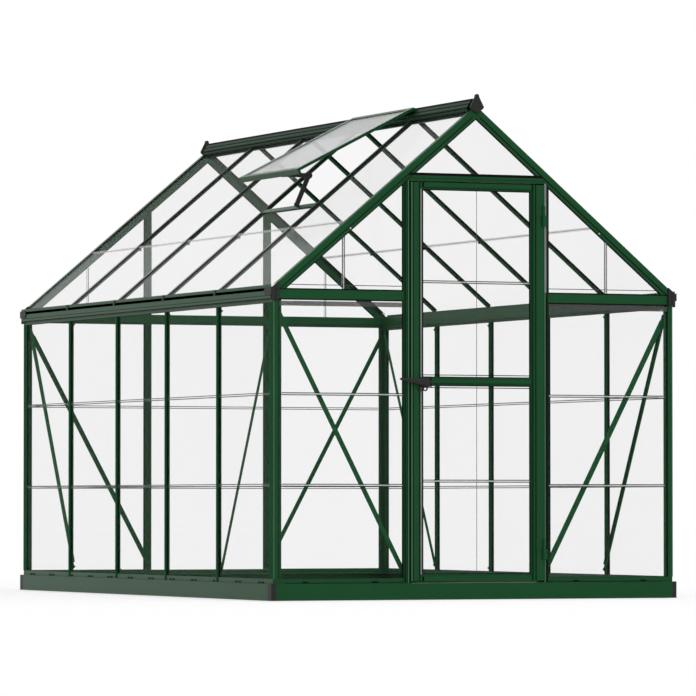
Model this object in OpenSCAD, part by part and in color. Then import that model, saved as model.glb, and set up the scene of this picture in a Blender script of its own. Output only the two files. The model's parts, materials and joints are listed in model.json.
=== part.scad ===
// Walk-in garden greenhouse: extruded glazing bars on a low base frame, clear sheets,
// one hinged door with a lever handle and one propped roof vent.
// Millimetres, +Z up, origin at the bottom centre of the base, door in the gable at -Y.

/* [Overall] */
// width of the base across the gables
base_w = 1850; // [1700:10:2000]
// length of the base
base_l = 3060; // [2700:10:3400]
// height of the base frame
base_h = 69; // [58:1:80]
// height of the eave rails' underside
eave_z = 1234; // [1150:2:1300]
// height of the roof surface at the ridge line
apex_z = 2053; // [1990:1:2120]
// bays along each side wall
bays = 5; // [4:1:6]

/* [Frame bars] */
// width of a glazing bar's cap
bar_w = 24; // [22:1:30]
// depth of a glazing bar from its outer face
bar_d = 16; // [15:0.5:22]
// metal thickness of the bars
skin = 2.2; // [1.8:0.1:2.5]
// width of a corner post along each wall
post_w = 38; // [36:1:46]
// step from the base's outer face back to the wall face
inset = 13; // [10:1:18]
// height of the sill channels on the base
sill_h = 20; // [18:1:30]
// height of the tie beams across the gables
tie_h = 45; // [40:1:55]
// face height of the gable rafters
rafter_h = 40; // [36:1:46]

/* [Glazing] */
// thickness of the sheets
pane_t = 4; // [3:0.5:5]
// clearance between pieces that seat on each other
fit = 0.3; // [0.2:0.05:0.4]
// depth that a sheet reaches into its groove
seat = 8; // [6:0.5:9]
// height of the clear joint strips
strip_h = 12; // [10:1:16]
// share of the roof slope, from the ridge, above the sheet joint
roof_joint = 0.65; // [0.6:0.01:0.75]

/* [Door] */
// width of the door leaf
leaf_w = 606; // [560:2:630]
// gap between the leaf and its frame
leaf_gap = 6; // [6:0.5:10]
// thickness of the leaf frame
leaf_t = 22; // [20:1:26]
// how far the leaf stands ahead of the wall face
leaf_proud = 18; // [15:1:19]
// face width of the leaf's stiles
stile_w = 57; // [50:1:62]
// face height of the leaf's middle rail
mid_h = 33; // [30:1:40]
// height of the middle rail's centre
mid_z = 904; // [850:2:950]
// reach of the lever from its pivot to the tip
lever_l = 122; // [90:1:140]

/* [Roof vent] */
// angle that the propped vent stands open
vent_open = 12.8; // [8:0.2:20]
// length of the vent from its hinge to its lower edge
vent_l = 611; // [560:1:650]
// overlap of the vent past the roof bars beside it
vent_lap = 28; // [16:1:32]

/* [Hidden] */
$fn = 48;
// sub-parts of this source; "all" shows the whole assembly

green = [0.13, 0.31, 0.18];
black = [0.16, 0.16, 0.16];
clear = [0.9, 0.92, 0.92, 0.35];
milky = [0.8, 0.82, 0.82, 0.5];

// wall faces and the groove that every bar shares
half_w = base_w / 2 - inset;
half_l = base_l / 2 - inset;
groove = pane_t + 2 * fit;
lip_in = skin + groove;
lip_end = lip_in + skin;
web = 3;
edge = 1.2;
track_w = 15;
track_slot = 8;
track_margin = 2.5;
stud_rise = 3.5;
stud_edge = 1.2;
corner_r = 6;
post_web = 14;
post_cap = 22;
post_bead = 2.5;
post_bead_at = 11;
track_in = post_w - track_w / 2 - track_margin;

// how far a cutting shape runs past what it cuts
over = 1;
reach = 100;

// base section
base_skin = 2.5;
flange = 48;
flange_turn = 13;
corner_w = 20;
corner_l = 43;

// bays
bay = (2 * half_l - post_w) / bays;
function bay_y(i) = -half_l + post_w / 2 + i * bay;
sill_z = base_h + fit;
sill_top = sill_z + sill_h;
tie_top = eave_z + tie_h;
tie_lip = seat + edge + skin;

// gutters
gut_behind = 22;
gut_ahead = 12;
gut_in = half_w - gut_behind;
gut_out = half_w + gut_ahead;
gut_h = 60;
gut_face = 35;
gut_rim = 48;
gut_step = 4;
lip_drop = 12;

// end caps of the gutters
cap_t = 10;
cap_rise = 2;
cap_h = 51;
cap_foot = 7;
cap_step = 19;
cheek_t = 3;
cheek_l = 66;
cheek_cut = 11;
cap_out = gut_out + fit + cheek_t;
cap_groove = 2.5;
cap_groove_x = half_w - 8;

// roof planes: the outer faces of bars and rafters lie in them
eave_rise = 54.5;
pitch = atan((apex_z - eave_z - eave_rise) / half_w);
function roof_z(x, depth) = apex_z - abs(x) * tan(pitch) - depth / cos(pitch);
keel_t = 3;
bar_foot = 24;
sheet_foot = 20;
slope_top = (keel_t / 2 + fit + bar_d * sin(pitch)) / cos(pitch);
slope_end = (gut_out - bar_foot) / cos(pitch);
sheet_top = slope_top + seat;
sheet_end = (gut_out - sheet_foot) / cos(pitch);
joint_s = roof_joint * slope_end;
rafter_d = 26;
rafter_web = 12;
rafter_raise = 1.8;
rafter_band = 24;

// ridge section
ridge_half = 30;
ridge_drop = 5;
ridge_h = 37;
ridge_shoulder = apex_z - ridge_drop;
ridge_top_half = 8;
ridge_top = ridge_shoulder + ridge_h;
ridge_ledge = 5;
keel_drop = 34;
keel_foot = 8;
peak_r = 9;
peak_rise = 8;
cap_side = 1;
cap_bevel = 8;
cap_tail = 22;

// joint strips
strip_skin = 1.2;
strip_web = 1.6;
strip_t = groove + 2 * strip_skin;
strip_half = strip_web / 2 + edge;
tier_1_share = 0.335;
tier_2_share = 0.662;
tier_1 = sill_top + (eave_z - sill_top) * tier_1_share;
tier_2 = sill_top + (eave_z - sill_top) * tier_2_share;

// door frame: ribs ahead of the wall beside the leaf and boxes behind it
jamb_in = leaf_w / 2 + leaf_gap;
jamb_lap = 22;
jamb_rise = 9;
jamb_face = 16;
jamb_rib = 6;
jamb_groove = 4;
jamb_lip = 6;
jamb_d = 34;
jamb_out = jamb_in + jamb_face + jamb_lip;
jamb_track = jamb_out - track_w / 2;
header_drop = 7;
header_z = roof_z(jamb_in, rafter_h) - header_drop;
header_h = 34;
header_face = 22;
header_box = 20;
header_end = jamb_in + skin;
stop_gap = 6;
stop_v = leaf_t - leaf_proud + stop_gap;
stop_t = 3;
stop_w = 14;
jamb_v = stop_v + stop_t + fit;
gable_joint_x = (half_w - post_cap + jamb_in) / 2;

// door leaf
leaf_y = -half_l - leaf_proud;
leaf_lift = 8;
leaf_bottom = base_h + leaf_lift;
leaf_top = header_z - leaf_gap;
leaf_back = 1;
leaf_step = leaf_t - lip_end - leaf_back;
leaf_lip = 9;
mid_lip = 9;
top_rail_h = 29;
bottom_rail_h = 28;
leaf_tier_1 = (leaf_bottom + mid_z) / 2;
leaf_tier_2 = (leaf_top + mid_z) / 2;
leaf_inner = leaf_w / 2 - stile_w;

// lift-off hinges
pin_r = 3;
pin_play = 0.06;
knuckle_r = 6;
knuckle_h = 42;
hinge_in = 3;
hinge_x = leaf_w / 2 - hinge_in;
hinge_y = leaf_y - knuckle_r - fit;
hinge_end = 88;
hinge_low = leaf_bottom + hinge_end;
hinge_high = leaf_top - hinge_end - 2 * knuckle_h;
hinge_plate = 3;
hinge_wing = 34;
pintle_at = 4;
pintle_arm = 10;
pintle_wing = 22;

// handle
plate_t = 5;
pivot_set = 60;
pivot_drop = 7;
pivot_x = -leaf_w / 2 + pivot_set;
pivot_z = mid_z - pivot_drop;
pivot_r = 5;
plate_r = 23;
plate_tail = 31;
plate_h = 37;
plate_low = 17;
ring_r = 11;
ring_hole = 6;
ring_drop = 24;
ring_left = -20;
ring_right = 1;
hub_r = 11;
lever_root = 15;
lever_t = 10;
lever_gap = 12;
lever_tilt = 7;
lever_tip = 5;
plate_y = leaf_y - fit - plate_t;

// braces
brace_w = 20;
brace_t = 3;
brace_turn = 10;
brace_set = 24;
brace_step = 24;
brace_top = eave_z - brace_set;
brace_foot = sill_top + brace_set;

// vent
vent_pitch = pitch - vent_open;
vent_r = 4;
vent_at = 6;
vent_lean = (ridge_half - ridge_top_half) / ridge_h;
vent_face = atan(vent_lean);
vent_hx = ridge_top_half + vent_at * vent_lean + (vent_r + fit) * cos(vent_face);
vent_hz = ridge_top - vent_at + (vent_r + fit) * sin(vent_face);
vent_y0 = bay_y(1) - vent_lap;
vent_y1 = bay_y(2) + vent_lap;
vent_width = vent_y1 - vent_y0;
vent_below = 3;
vent_t = 12;
vent_mid = vent_t / 2 - vent_below;
vent_bar = 22;
vent_neck = 3;
vent_side_0 = vent_neck + vent_bar + fit;
vent_side_1 = vent_l - vent_bar - fit;
vent_sill_lap = 19;
vent_sill_s = vent_l - vent_sill_lap;
vent_sill_w = 24;
vent_drip = 12;
stay_w = 18;
stay_eye = 22;
stay_elbow = 30;
stay_set = 55;
stay_t = 12;
stay_off = 105;
stay_y = (vent_y0 + vent_y1) / 2 - stay_off;

// ends of runs, and how far sheets stop from the webs beside them
gable_end = half_w - post_w - fit;
side_end = half_l - post_w - fit;
gable_cap_end = half_w - post_cap - fit;
side_cap_end = half_l - post_cap - fit;
tie_end = gut_in - fit;
stud_z = sill_top + fit;
stud_x = gable_joint_x / 2;
back_stud_w = 34;
back_cap_edge = back_stud_w / 2 + fit;
side_stud_h = eave_z - lip_drop - fit - stud_z;
ridge_l = 2 * half_l - 2 * rafter_d - 2 * fit;
pane_in = skin + fit;
bar_edge = web / 2 + edge;
post_edge = post_web + skin + edge;
jamb_edge = jamb_in + skin + edge;
gable_sheet_end = min(half_w - post_edge, gut_in - edge);
cap_edge = bar_w / 2 + fit;
gable_top = eave_z + tie_lip - edge;
upper_low = tie_top - tie_lip + edge;

// local frame of a wall: x along it, y inward from its face
module wall(turn, dist) rotate(turn) translate([0, -dist, 0]) children();
module front() wall(0, half_l) children();
module back() wall(180, half_l) children();
module left() wall(-90, half_w) children();
module right() wall(90, half_w) children();

// a section (inward, up) drawn out along a wall
module along(u0, u1) translate([u0, 0, 0]) rotate([90, 0, 90]) linear_extrude(u1 - u0) children();

// a section (across, up) drawn out along the length, centred
module lengthwise(l) rotate([90, 0, 0]) linear_extrude(l, center = true) children();

// an outline (along, up) given a thickness inward from depth v
module slab(v, t) translate([0, v + t, 0]) rotate([90, 0, 0]) linear_extrude(t) children();

// local frame of the right roof slope: x down the slope, z outward; the left one is its mirror image
module right_slope() translate([0, 0, apex_z]) rotate([0, pitch, 0]) children();
module left_slope() mirror([1, 0, 0]) right_slope() children();

module both_x() {
    children();
    mirror([1, 0, 0]) children();
}

module both_y() {
    children();
    mirror([0, 1, 0]) children();
}

// bolt channel on the inner side of a bar
module track() {
    for (s = [-1, 1]) {
        translate([s * (track_w - skin) / 2 - skin / 2, lip_in]) square([skin, bar_d - lip_in]);
        translate([s * (track_w + track_slot) / 4 - (track_w - track_slot) / 4, bar_d - skin])
            square([(track_w - track_slot) / 2, skin]);
    }
}

// glazing bar: outer cap, web, inner flange and bolt channel
module bar_section(w) {
    translate([-w / 2, 0]) square([w, skin]);
    translate([-web / 2, 0]) square([web, lip_end]);
    translate([-w / 2, lip_in]) square([w, skin]);
    track();
}

module stud(h, w) linear_extrude(h) bar_section(w);

module post_section() {
    for (m = [0, 1]) mirror([m, -m]) {
        translate([corner_r, 0]) square([post_cap - corner_r, skin]);
        translate([lip_in, lip_in]) square([post_w - lip_in, skin]);
        translate([post_web, 0]) square([skin, lip_end]);
        translate([track_in, 0]) track();
    }
    translate([post_bead_at, skin / 2]) circle(post_bead);
    intersection() {
        square(corner_r);
        translate([corner_r, corner_r]) difference() {
            circle(corner_r);
            circle(corner_r - skin);
        }
    }
}

module base_section() {
    square([base_skin, base_h]);
    square([flange, base_skin]);
    translate([0, base_h - base_skin]) square([flange, base_skin]);
    translate([flange - base_skin, 0]) square([base_skin, flange_turn]);
}

// base rail at distance hd from the centre, with square ends
module base_run(hd, end) translate([0, -hd, 0]) along(-end, end) base_section();

module gable_base() base_run(base_l / 2, base_w / 2 - corner_w - fit);

// its flanges stop at the gable rails, behind the corner pieces
module side_base() difference() {
    base_run(base_w / 2, base_l / 2 - corner_l - fit);
    both_x() translate([base_l / 2 - flange - fit, corner_w - base_w / 2, -over])
        cube([flange, flange, base_h + 2 * over]);
}

module base_front() color(green) gable_base();
module base_back() color(green) rotate(180) gable_base();
module base_left() color(green) rotate(-90) side_base();
module base_right() color(green) rotate(90) side_base();

module base_corner() {
    linear_extrude(base_h) difference() {
        square([corner_w, corner_l]);
        difference() {
            square(corner_r);
            translate([corner_r, corner_r]) circle(corner_r);
        }
    }
}

module base_corners() color(black) both_x() both_y()
    translate([-base_w / 2, -base_l / 2, 0]) base_corner();

module sill_section() {
    square([bar_d, skin]);
    square([skin, sill_h]);
    translate([lip_in, 0]) square([skin, sill_h]);
}

// outer half of the sill, which runs on ahead of the posts' inner flanges
module sill_front() {
    square([lip_in - fit, skin]);
    square([skin, sill_h]);
}

module sill(u0, u1, front_u0, front_u1) translate([0, 0, sill_z]) {
    along(u0, u1) sill_section();
    along(front_u0, front_u1) sill_front();
}

module wall_sills() color(green) {
    both_x() front() sill(jamb_out + fit, gable_end, jamb_out + fit, gable_cap_end);
    back() sill(-gable_end, gable_end, -gable_cap_end, gable_cap_end);
    left() sill(-side_end, side_end, -side_cap_end, side_cap_end);
    right() sill(-side_end, side_end, -side_cap_end, side_cap_end);
}

module corner_posts() color(green) both_x() both_y()
    translate([-half_w, -half_l, sill_z]) linear_extrude(eave_z - fit - sill_z) post_section();

// arched cap of a side stud, which also covers the sill below
module stud_cap() {
    arch = stud_rise - stud_edge;
    arch_r = (pow(bar_w / 2, 2) + pow(arch, 2)) / (2 * arch);
    translate([0, 0, sill_z]) linear_extrude(stud_z + side_stud_h - sill_z) intersection() {
        translate([-bar_w / 2, -fit - stud_rise]) square([bar_w, stud_rise]);
        translate([0, arch_r - fit - stud_rise]) circle(arch_r, $fn = 4 * $fn);
    }
}

module side_stud() {
    stud_cap();
    translate([0, 0, stud_z]) {
        stud(side_stud_h, bar_w);
        translate([-bar_w / 2, -fit, 0]) cube([bar_w, 2 * fit, side_stud_h]);
    }
}

module side_studs() for (i = [1 : bays - 1]) translate([bay_y(i), 0, 0]) side_stud();

module left_wall_studs() color(green) left() side_studs();
module right_wall_studs() color(green) right() side_studs();

// everything below the gable rafters, down to a given depth under the roof surface
module under_roof(depth, gap) {
    slab(-reach, 2 * reach) polygon([[-half_w, 0], [half_w, 0], [half_w, roof_z(half_w, depth) - gap],
        [0, roof_z(0, depth) - gap], [-half_w, roof_z(half_w, depth) - gap]]);
}

module back_gable_studs() color(green) back() both_x() {
    translate([stud_x, 0, stud_z]) stud(eave_z - fit - stud_z, back_stud_w);
    intersection() {
        translate([stud_x, 0, tie_top + fit]) stud(apex_z - tie_top, back_stud_w);
        under_roof(rafter_h, fit);
    }
}

// hollow rectangle with its low corner at p
module tube(p, w, h) translate(p) difference() {
    square([w, h]);
    translate([skin, skin]) square([w - 2 * skin, h - 2 * skin]);
}

// jamb: two ribs with a groove between them ahead of the wall, lips and bolt channel for the gable sheets,
// and an inner box that the leaf laps
module jamb_section() {
    groove_u = jamb_in + jamb_rib;
    translate([jamb_in, -jamb_rise]) square([skin, jamb_d + jamb_rise]);
    tube([jamb_in, -jamb_rise], jamb_rib, jamb_rise + skin);
    tube([groove_u + jamb_groove, -jamb_rise], jamb_face - jamb_rib - jamb_groove, jamb_rise + skin);
    for (v = [0, lip_in]) translate([jamb_in, v]) square([jamb_out - jamb_in, skin]);
    translate([jamb_track, 0]) track();
    tube([jamb_in - jamb_lap, jamb_v], jamb_lap + skin, jamb_d - jamb_v);
}

module door_jambs() color(green) front() both_x() intersection() {
    translate([0, 0, sill_z]) linear_extrude(header_z - fit - sill_z) jamb_section();
    under_roof(rafter_h, fit);
}

module tie_section() {
    square([skin, tie_h]);
    translate([lip_in, 0]) square([skin, tie_h]);
    translate([0, tie_lip]) square([bar_d, skin]);
    translate([0, tie_h - tie_lip - skin]) square([bar_d, skin]);
    translate([bar_d - skin, tie_lip]) square([skin, tie_h - 2 * tie_lip]);
}

// header: face box ahead of the wall, box behind it, groove for the sheet above
module header_section() {
    tube([-jamb_rise, 0], jamb_rise + skin, header_face);
    tube([0, 0], jamb_d, header_box);
    square([skin, header_h]);
    translate([lip_in, header_box - skin]) square([skin, header_h - header_box + skin]);
    translate([0, header_h - tie_lip - skin]) square([lip_end, skin]);
}

module door_header() color(green) front() intersection() {
    translate([0, 0, header_z]) along(-header_end, header_end) header_section();
    under_roof(rafter_h, fit);
}

module door_stops() color(black) front() {
    both_x() translate([jamb_in - fit - stop_w, stop_v, leaf_bottom])
        cube([stop_w, stop_t, leaf_top - leaf_bottom]);
    translate([-jamb_in + fit, stop_v, leaf_top + fit])
        cube([2 * jamb_in - 2 * fit, stop_t, leaf_gap - 2 * fit]);
}

module gable_tie_beams() color(green) translate([0, 0, eave_z]) {
    front() both_x() along(jamb_out + fit, tie_end) tie_section();
    back() along(-tie_end, tie_end) tie_section();
}

// rainwater channel; its back wall carries the roof bars
module gutter_section() {
    back_top = roof_z(gut_in + skin, bar_d) - fit;
    translate([gut_in, eave_z]) square([gut_out - gut_in, skin]);
    translate([gut_in, eave_z]) square([skin, back_top - eave_z]);
    translate([gut_out - skin, eave_z]) square([skin, gut_face]);
    translate([gut_out - gut_step, eave_z]) {
        for (z = [gut_face - skin, gut_rim]) translate([0, z]) square([gut_step, skin]);
        translate([0, gut_face - skin]) square([skin, gut_rim - gut_face + 2 * skin]);
        translate([gut_step - skin, gut_rim]) square([skin, gut_h - gut_rim]);
    }
}

// lip under the channel at depth v, which holds the wall sheets
module gutter_lip(v) translate([half_w - v - skin, eave_z - lip_drop]) square([skin, lip_drop + skin]);

module right_gutter() color(green) {
    lengthwise(2 * half_l) gutter_section();
    lengthwise(2 * side_cap_end) gutter_lip(0);
    lengthwise(2 * side_end) gutter_lip(lip_in);
}

module left_gutter() mirror([1, 0, 0]) right_gutter();

// end cap of the right gutter at the front: stepped plate under the roof slope, cheek along the channel
module gutter_end_cap() {
    step_z = eave_z + cap_step;
    cap_top = eave_z + cap_h;
    foot_x = gut_out - cheek_t;
    foot_z = eave_z - cap_foot;
    slope_x = (apex_z + cap_rise - cap_top) / tan(pitch);
    difference() {
        translate([0, -fit, 0]) rotate([90, 0, 0]) linear_extrude(cap_t) polygon([[gut_in, eave_z],
            [half_w + fit, eave_z], [half_w + fit, foot_z], [foot_x, foot_z], [foot_x, step_z],
            [cap_out, step_z], [cap_out, cap_top], [slope_x, cap_top],
            [gut_in, roof_z(gut_in, 0) + cap_rise]]);
        translate([cap_groove_x, -cap_t - fit - over, eave_z - over])
            cube([cap_groove, cap_groove + over, gut_h]);
    }
    translate([cap_out - cheek_t, 0, 0]) rotate([90, 0, 90]) linear_extrude(cheek_t)
        polygon([[-cap_t, step_z], [cheek_l - cheek_cut, step_z], [cheek_l, step_z + cheek_cut],
            [cheek_l, cap_top - cheek_cut], [cheek_l - cheek_cut, cap_top], [-cap_t, cap_top]]);
}

module gutter_end_caps() color(black) both_x() both_y() translate([0, -half_l, 0]) gutter_end_cap();

// gable rafter: stepped face, groove for the gable sheet below and for the roof sheet behind
module rafter_section() {
    translate([0, -rafter_h]) square([skin, rafter_h]);
    translate([-rafter_raise, -rafter_band]) square([rafter_raise + skin, rafter_band]);
    translate([0, -skin]) square([rafter_d, skin]);
    translate([0, -lip_end]) square([rafter_d, skin]);
    translate([rafter_web, -lip_end]) square([skin, lip_end]);
    translate([lip_in, -rafter_h]) square([skin, rafter_h - lip_in]);
    translate([0, -rafter_h + seat + edge]) square([lip_end, skin]);
}

module right_front_rafter() intersection() {
    right_slope() translate([0, -half_l, 0]) along(-2 * rafter_h, slope_end) rafter_section();
    translate([fit / 2, -half_l - reach, tie_top + fit]) cube([tie_end - fit / 2, 2 * reach, apex_z]);
}

module front_rafters() color(green) both_x() right_front_rafter();
module back_rafters() color(green) mirror([0, 1, 0]) both_x() right_front_rafter();

module roof_bars() for (i = [1 : bays - 1]) translate([0, bay_y(i), 0])
    mirror([0, 0, 1]) along(slope_top, slope_end) bar_section(bar_w);

module left_roof_bars() color(green) left_slope() roof_bars();
module right_roof_bars() color(green) right_slope() roof_bars();

// half of the outline of the ridge's cap and legs, with its shoulder at half width w and its top at height h
function ridge_side(w, top_w, low, h) = [[w, low], [w, ridge_shoulder], [top_w, h]];
function mirrored(points) = [for (i = [len(points) - 1 : -1 : 0]) [-points[i][0], points[i][1]]];

// ridge: hollow cap on two legs with a ledge each side, and a keel between the roof bars
module ridge_section() {
    leg_low = roof_z(ridge_half - skin, 0) + fit;
    outer = ridge_side(ridge_half, ridge_top_half, leg_low, ridge_top);
    inner = ridge_side(ridge_half - skin, ridge_top_half - skin, leg_low - over, ridge_top - skin);
    difference() {
        polygon(concat(outer, mirrored(outer)));
        polygon(concat(inner, mirrored(inner)));
    }
    for (m = [0, 1]) mirror([m, 0]) translate([ridge_half - skin, ridge_shoulder - skin])
        square([skin + ridge_ledge, skin]);
    translate([-keel_t / 2, apex_z - keel_drop]) square([keel_t, ridge_top - apex_z + keel_drop - skin / 2]);
    translate([-keel_foot, apex_z - keel_drop]) square([2 * keel_foot, skin]);
}

module ridge_beam() color(green) lengthwise(ridge_l) ridge_section();

// kite-shaped plate with a rounded peak over the ends of ridge and rafters
module ridge_end_caps() color(black) both_y() front() slab(-cap_t - rafter_raise - fit, cap_t) {
    cap_half = ridge_half + cap_side;
    peak = ridge_top + peak_rise;
    side = [[0, roof_z(0, rafter_h) + cap_tail], [cap_half - cap_bevel / 2, ridge_shoulder - cap_bevel],
        [cap_half, ridge_shoulder], [peak_r - over, peak]];
    polygon(concat(side, mirrored(side)));
    translate([0, peak]) circle(peak_r);
}

// angle bar between two points of a wall: round ends, and one edge turned inward between them
module brace(p, q) {
    run = norm(q - p);
    turn = atan2(q[1] - p[1], q[0] - p[0]);
    slab(bar_d + fit, brace_t) translate(p) rotate(turn) {
        translate([0, -brace_w / 2]) square([run, brace_w]);
        circle(d = brace_w);
        translate([run, 0]) circle(d = brace_w);
    }
    slab(bar_d + fit, brace_turn) translate(p) rotate(turn)
        translate([brace_w, -brace_w / 2]) square([run - 2 * brace_w, brace_t]);
}

module side_braces() both_x() brace([half_l - track_in, brace_top], [-bay_y(1), brace_foot]);
module gable_braces(foot) both_x() brace([half_w - track_in, brace_top - brace_step], [foot, brace_foot]);

module wall_braces() color(green) {
    left() side_braces();
    right() side_braces();
    front() gable_braces(jamb_track);
    back() gable_braces(stud_x);
}

// rectangular sheet in a wall groove, from u0 to u1 and z0 to z1
module sheet(u0, u1, z0, z1) translate([u0, pane_in, z0]) cube([u1 - u0, pane_t, z1 - z0]);

// three tiers of sheets between two upright grooves
module tiers(u0, u1, top) {
    sheet(u0, u1, sill_z + skin + edge, tier_1 - strip_half);
    sheet(u0, u1, tier_1 + strip_half, tier_2 - strip_half);
    sheet(u0, u1, tier_2 + strip_half, top);
}

module side_sheets() for (i = [0 : bays - 1]) {
    u0 = i == 0 ? -half_l + post_edge : bay_y(i) + bar_edge;
    u1 = i == bays - 1 ? half_l - post_edge : bay_y(i + 1) - bar_edge;
    tiers(u0, u1, eave_z - edge);
}

module left_wall_sheets() color(clear) left() side_sheets();
module right_wall_sheets() color(clear) right() side_sheets();

// sheet above the tie beam, cut to the rafter's groove
module gable_sheet(u0, u1, z0) intersection() {
    sheet(u0, u1, z0, apex_z);
    under_roof(rafter_h - seat, 0);
}

module front_gable_sheets() color(clear) front() {
    both_x() {
        tiers(jamb_edge, gable_sheet_end, gable_top);
        gable_sheet(jamb_edge, gable_joint_x - strip_half, upper_low);
        gable_sheet(gable_joint_x + strip_half, gut_in - edge, upper_low);
    }
    gable_sheet(-half_w, half_w, header_z + header_h - tie_lip + edge);
}

module back_gable_sheets() color(clear) back() {
    both_x() {
        tiers(stud_x + bar_edge, gable_sheet_end, gable_top);
        gable_sheet(stud_x + bar_edge, gable_joint_x - strip_half, upper_low);
        gable_sheet(gable_joint_x + strip_half, gut_in - edge, upper_low);
    }
    tiers(-stud_x + bar_edge, stud_x - bar_edge, gable_top);
    gable_sheet(-stud_x + bar_edge, stud_x - bar_edge, upper_low);
}

// sheets of one roof bay between slope distances s0 and s1
module roof_sheet(i, s0, s1) {
    y0 = i == 0 ? -half_l + rafter_web + skin + edge : bay_y(i) + bar_edge;
    y1 = i == bays - 1 ? half_l - rafter_web - skin - edge : bay_y(i + 1) - bar_edge;
    translate([s0, y0, -pane_in - pane_t]) cube([s1 - s0, y1 - y0, pane_t]);
}

module roof_sheets(vent_bay) for (i = [0 : bays - 1]) {
    roof_sheet(i, i == vent_bay ? vent_sill_s + skin + edge : sheet_top, joint_s - strip_half);
    roof_sheet(i, joint_s + strip_half, sheet_end);
}

module left_roof_sheets() color(clear) left_slope() roof_sheets(1);
module right_roof_sheets() color(clear) right_slope() roof_sheets(-1);

// clear strip of H section, drawn (across its sheets, through them)
module strip_section() {
    translate([-strip_h / 2, skin - strip_skin]) square([strip_h, strip_skin]);
    translate([-strip_h / 2, lip_in]) square([strip_h, strip_skin]);
    translate([-strip_web / 2, skin - strip_skin]) square([strip_web, strip_t]);
}

module level_strip(u0, u1, z) translate([u0, 0, z]) rotate([0, 90, 0])
    linear_extrude(u1 - u0) strip_section();

module side_strips() for (i = [0 : bays - 1], z = [tier_1, tier_2]) {
    u0 = i == 0 ? -side_end : bay_y(i) + cap_edge;
    u1 = i == bays - 1 ? side_end : bay_y(i + 1) - cap_edge;
    level_strip(u0, u1, z);
}

// upright strip above the tie beam
module gable_strip() intersection() {
    translate([gable_joint_x, 0, tie_top + fit]) linear_extrude(apex_z) strip_section();
    under_roof(rafter_h, fit);
}

module wall_joint_strips() color(clear) {
    left() side_strips();
    right() side_strips();
    front() both_x() {
        for (z = [tier_1, tier_2]) level_strip(jamb_out + fit, gable_end, z);
        gable_strip();
    }
    back() {
        both_x() {
            for (z = [tier_1, tier_2]) level_strip(stud_x + back_cap_edge, gable_end, z);
            gable_strip();
        }
        for (z = [tier_1, tier_2]) level_strip(-stud_x + back_cap_edge, stud_x - back_cap_edge, z);
    }
}

module roof_strips() for (i = [0 : bays - 1]) {
    y0 = i == 0 ? -half_l + rafter_d + fit : bay_y(i) + cap_edge;
    y1 = i == bays - 1 ? half_l - rafter_d - fit : bay_y(i + 1) - cap_edge;
    translate([joint_s, y1, 0]) rotate([90, 0, 0]) linear_extrude(y1 - y0) mirror([0, 1]) strip_section();
}

module roof_joint_strips() color(clear) {
    left_slope() roof_strips();
    right_slope() roof_strips();
}

// cross bar that closes the roof below the vent
module vent_sill() color(green) left_slope()
    translate([vent_sill_s, bay_y(2) - cap_edge, 0]) rotate([90, 0, 0])
    linear_extrude(bay - 2 * cap_edge) mirror([0, 1]) {
        square([vent_sill_w, skin]);
        translate([0, lip_in]) square([vent_sill_w, skin]);
        square([skin, bar_d]);
    }

// local frame of the propped vent: x down its slope from the hinge bead, z outward
module on_vent() mirror([1, 0, 0]) translate([vent_hx, 0, vent_hz]) rotate([0, vent_pitch, 0]) children();

// bar of the vent, from x0 to x1 and y0 to y1
module vent_piece(x0, x1, y0, y1) translate([x0, y0, -vent_below]) cube([x1 - x0, y1 - y0, vent_t]);

// hinge bar with its bead, lower bar with its drip edge, and two side bars, all grooved for the sheet
module vent_frame() color(green) on_vent() {
    difference() {
        union() {
            vent_piece(vent_neck, vent_neck + vent_bar, vent_y0, vent_y1);
            vent_piece(vent_l - vent_bar, vent_l, vent_y0, vent_y1);
            translate([vent_l - vent_drip, vent_y0, -vent_below - vent_drip])
                cube([vent_drip, vent_width, vent_drip + over]);
            vent_piece(vent_side_0, vent_side_1, vent_y0, vent_y0 + vent_bar);
            vent_piece(vent_side_0, vent_side_1, vent_y1 - vent_bar, vent_y1);
        }
        translate([vent_neck + vent_bar - seat, vent_y0 + vent_bar - seat, vent_mid - groove / 2])
            cube([vent_l - vent_neck - 2 * (vent_bar - seat), vent_width - 2 * (vent_bar - seat), groove]);
    }
    translate([0, vent_y0, -vent_r / 2]) cube([vent_neck + over, vent_width, vent_r]);
    translate([0, vent_y1, 0]) rotate([90, 0, 0]) cylinder(r = vent_r, h = vent_width);
}

module vent_sheet() color(milky) on_vent() {
    rim = vent_bar - seat + edge;
    translate([vent_neck + rim, vent_y0 + rim, vent_mid - pane_t / 2])
        cube([vent_l - vent_neck - 2 * rim, vent_width - 2 * rim, pane_t]);
}

// bent stay that props the vent, drawn (across, up) between its two feet
function sill_point(s, n) = [-s * cos(pitch) - n * sin(pitch), apex_z - s * sin(pitch) + n * cos(pitch)];
function vent_point(s, n) = [-vent_hx - s * cos(vent_pitch) - n * sin(vent_pitch),
    vent_hz - s * sin(vent_pitch) + n * cos(vent_pitch)];

module link(p, q) {
    translate(p) rotate(atan2(q[1] - p[1], q[0] - p[0]))
        translate([0, -stay_w / 2]) square([norm(q - p), stay_w]);
}

module vent_stay() color(black) translate([0, stay_y, 0]) lengthwise(stay_t) {
    foot = sill_point(vent_sill_s + vent_sill_w / 2, fit + stay_eye / 2);
    head = vent_point(vent_l - vent_drip - fit - stay_eye / 2, -vent_below - fit - stay_eye / 2);
    elbow = [foot[0] + stay_set, head[1]];
    link(foot, elbow);
    link(elbow, head);
    for (p = [foot, head]) translate(p) circle(d = stay_eye);
    translate(elbow) circle(d = stay_elbow);
}

// frame of the leaf: hollow box, and two lips set back for the sheets, drawn (from its edge, from its front)
module leaf_lips(u0, u1) for (v = [0, lip_in]) translate([u0, leaf_step + v]) square([u1 - u0, skin]);

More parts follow.
